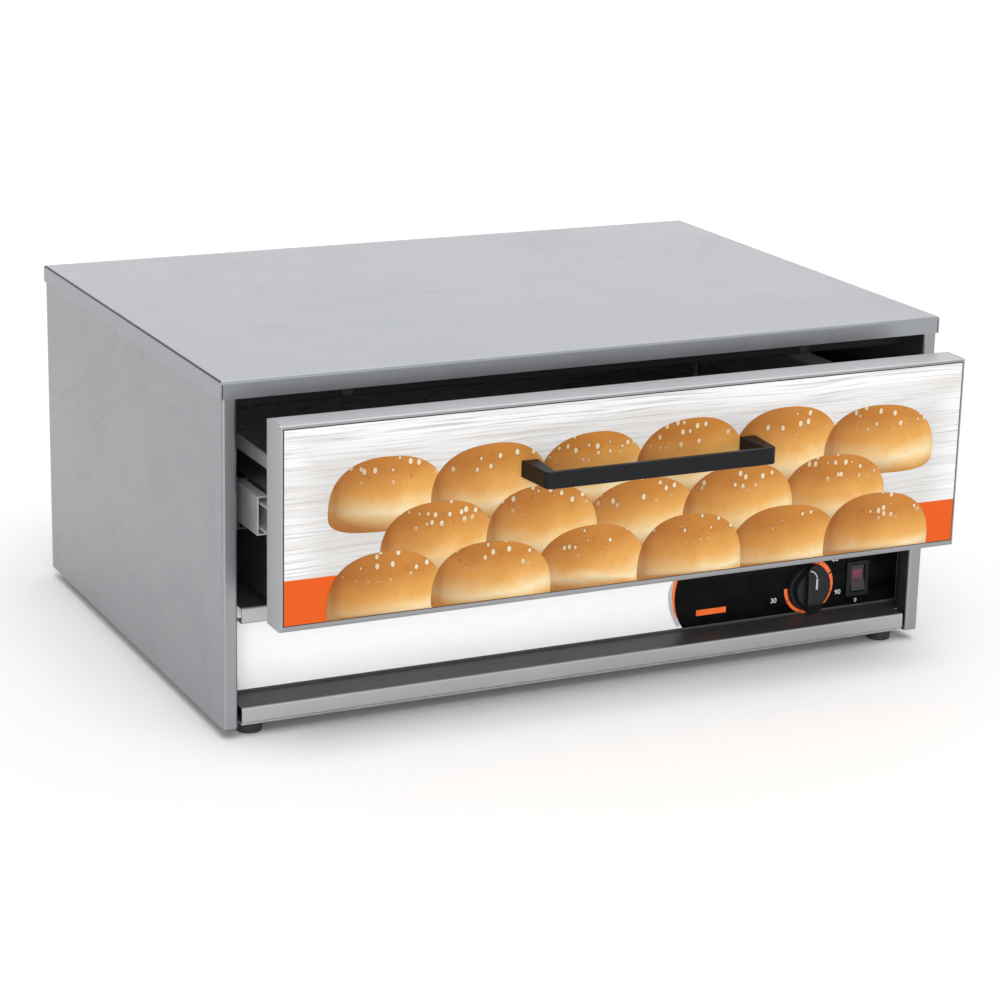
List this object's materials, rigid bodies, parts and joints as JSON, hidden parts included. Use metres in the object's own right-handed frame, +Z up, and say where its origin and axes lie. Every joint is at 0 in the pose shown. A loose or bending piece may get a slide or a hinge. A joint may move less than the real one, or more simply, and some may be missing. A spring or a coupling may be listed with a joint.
{
  "type": "bun warmer",
  "caption": "Low stainless counter-top warmer with one heated pull-out drawer for rolls, a printed drawer front with a bar handle, and a recessed panel with a heat knob and a rocker switch.",
  "frame": {"origin": "on the plane that the feet stand on, under the middle of the whole object with its drawer 69 mm open", "axes": "+X to the object's right as seen from the front, +Y to the back, +Z up"},
  "size_m": [0.6224, 0.553, 0.279],
  "materials": {
    "casing_steel": "satin stainless sheet, fine brushed grain",
    "galvanised_steel": "galvanised sheet, dull spangle",
    "bright_aluminium": "bright mill finish",
    "white_film": "satin white polyester film",
    "black_film": "satin black polyester film",
    "thermostat_body": "moulded phenolic and plated case",
    "copper_tube": "drawn copper",
    "spring_steel": "blued spring strip",
    "zinc_screw": "bright zinc plate",
    "switch_black": "moulded nylon",
    "element_sheath": "oxidised alloy sheath",
    "terminal_brass": "turned brass",
    "terminal_nylon": "natural nylon",
    "lead_brown": "heat resistant sleeve",
    "lead_red": "heat resistant sleeve",
    "lead_blue": "heat resistant sleeve",
    "lead_green": "heat resistant sleeve",
    "black_rubber": "moulded rubber",
    "gland_nylon": "moulded nylon",
    "slide_zinc": "zinc plated cold rolled strip",
    "drawer_steel": "satin stainless sheet",
    "printed_film": "printed polyester film, satin gloss",
    "handle_black": "satin black moulded nylon",
    "pan_steel": "satin stainless sheet, punched",
    "knob_black": "matt black phenolic",
    "pointer_white": "white inlay",
    "rocker_red": "clear red lens over a neon lamp"
  },
  "bodies": {
    "casing": {"top_cover": "casing_steel", "left_side_panel": "casing_steel", "right_side_panel": "casing_steel", "back_panel": "casing_steel", "bottom_pan": "galvanised_steel", "control_panel": "casing_steel", "mid_rail": "casing_steel", "header_rail": "casing_steel", "heat_shield": "galvanised_steel", "reflector_tray": "bright_aluminium", "fascia_label": "white_film", "control_label": "black_film", "thermostat": "thermostat_body", "thermostat_bulb": "copper_tube", "bulb_clips": "spring_steel", "thermostat_screws": "zinc_screw", "switch_housing": "switch_black", "heating_element": "element_sheath", "element_terminals": "terminal_brass", "element_brackets": "galvanised_steel", "high_limit": "thermostat_body", "terminal_block": "terminal_nylon", "lead_supply": "lead_brown", "lead_heater": "lead_red", "lead_return": "lead_blue", "lead_earth": "lead_green", "wire_grommet": "black_rubber", "cord_gland": "gland_nylon", "gland_locknut": "gland_nylon", "slide_support_left": "galvanised_steel", "slide_support_right": "galvanised_steel", "slide_outer_left": "slide_zinc", "slide_outer_right": "slide_zinc", "foot_front_left": "black_rubber", "foot_front_right": "black_rubber", "foot_rear_left": "black_rubber", "foot_rear_right": "black_rubber", "foot_screws": "zinc_screw", "cover_screws": "zinc_screw", "back_screws": "zinc_screw", "drawer_bumpers": "black_rubber"},
    "drawer": {"slide_inner_left": "slide_zinc", "slide_inner_right": "slide_zinc", "drawer_box": "drawer_steel", "drawer_front": "drawer_steel", "front_liner": "drawer_steel", "front_print": "printed_film", "handle": "handle_black", "handle_screws": "zinc_screw"},
    "pan": {"bun_pan": "pan_steel"},
    "middle_slide_left": {"slide_middle_left": "slide_zinc"},
    "middle_slide_right": {"slide_middle_right": "slide_zinc"},
    "outer_cage_left": {"cage_outer_left": "slide_zinc"},
    "outer_cage_right": {"cage_outer_right": "slide_zinc"},
    "inner_cage_left": {"cage_inner_left": "slide_zinc"},
    "inner_cage_right": {"cage_inner_right": "slide_zinc"},
    "knob": {"control_knob": "knob_black", "knob_pointer": "pointer_white", "thermostat_shaft": "terminal_brass"},
    "rocker": {"rocker_button": "rocker_red"}
  },
  "joints": [
    {"name": "drawer_slide", "type": "slide", "parent": "casing", "child": "drawer", "axis": [0, -1, 0], "range_m": [-0.069, 0.281]},
    {"name": "pan_lift", "type": "slide", "parent": "drawer", "child": "pan", "axis": [0, 0, 1], "range_m": [0, 0.075]},
    {"name": "middle_slide_left_run", "type": "slide", "parent": "casing", "child": "middle_slide_left", "axis": [0, -1, 0], "range_m": [-0.0345, 0.1405]},
    {"name": "outer_cage_left_run", "type": "slide", "parent": "casing", "child": "outer_cage_left", "axis": [0, -1, 0], "range_m": [-0.01725, 0.07025]},
    {"name": "inner_cage_left_run", "type": "slide", "parent": "casing", "child": "inner_cage_left", "axis": [0, -1, 0], "range_m": [-0.05175, 0.21075]},
    {"name": "middle_slide_right_run", "type": "slide", "parent": "casing", "child": "middle_slide_right", "axis": [0, -1, 0], "range_m": [-0.0345, 0.1405]},
    {"name": "outer_cage_right_run", "type": "slide", "parent": "casing", "child": "outer_cage_right", "axis": [0, -1, 0], "range_m": [-0.01725, 0.07025]},
    {"name": "inner_cage_right_run", "type": "slide", "parent": "casing", "child": "inner_cage_right", "axis": [0, -1, 0], "range_m": [-0.05175, 0.21075]},
    {"name": "knob_turn", "type": "hinge", "parent": "casing", "child": "knob", "pos_m": [0.221, -0.1374, 0.0473], "axis": [0, 1, 0], "range_deg": [0, 270]},
    {"name": "rocker_press", "type": "hinge", "parent": "casing", "child": "rocker", "pos_m": [0.2683, -0.1354, 0.0494], "axis": [1, 0, 0], "range_deg": [0, 16]}
  ],
  "couplings": [
    {"joint": "middle_slide_left_run", "follows": "drawer_slide", "ratio": 0.5},
    {"joint": "outer_cage_left_run", "follows": "drawer_slide", "ratio": 0.25},
    {"joint": "inner_cage_left_run", "follows": "drawer_slide", "ratio": 0.75},
    {"joint": "middle_slide_right_run", "follows": "drawer_slide", "ratio": 0.5},
    {"joint": "outer_cage_right_run", "follows": "drawer_slide", "ratio": 0.25},
    {"joint": "inner_cage_right_run", "follows": "drawer_slide", "ratio": 0.75}
  ]
}
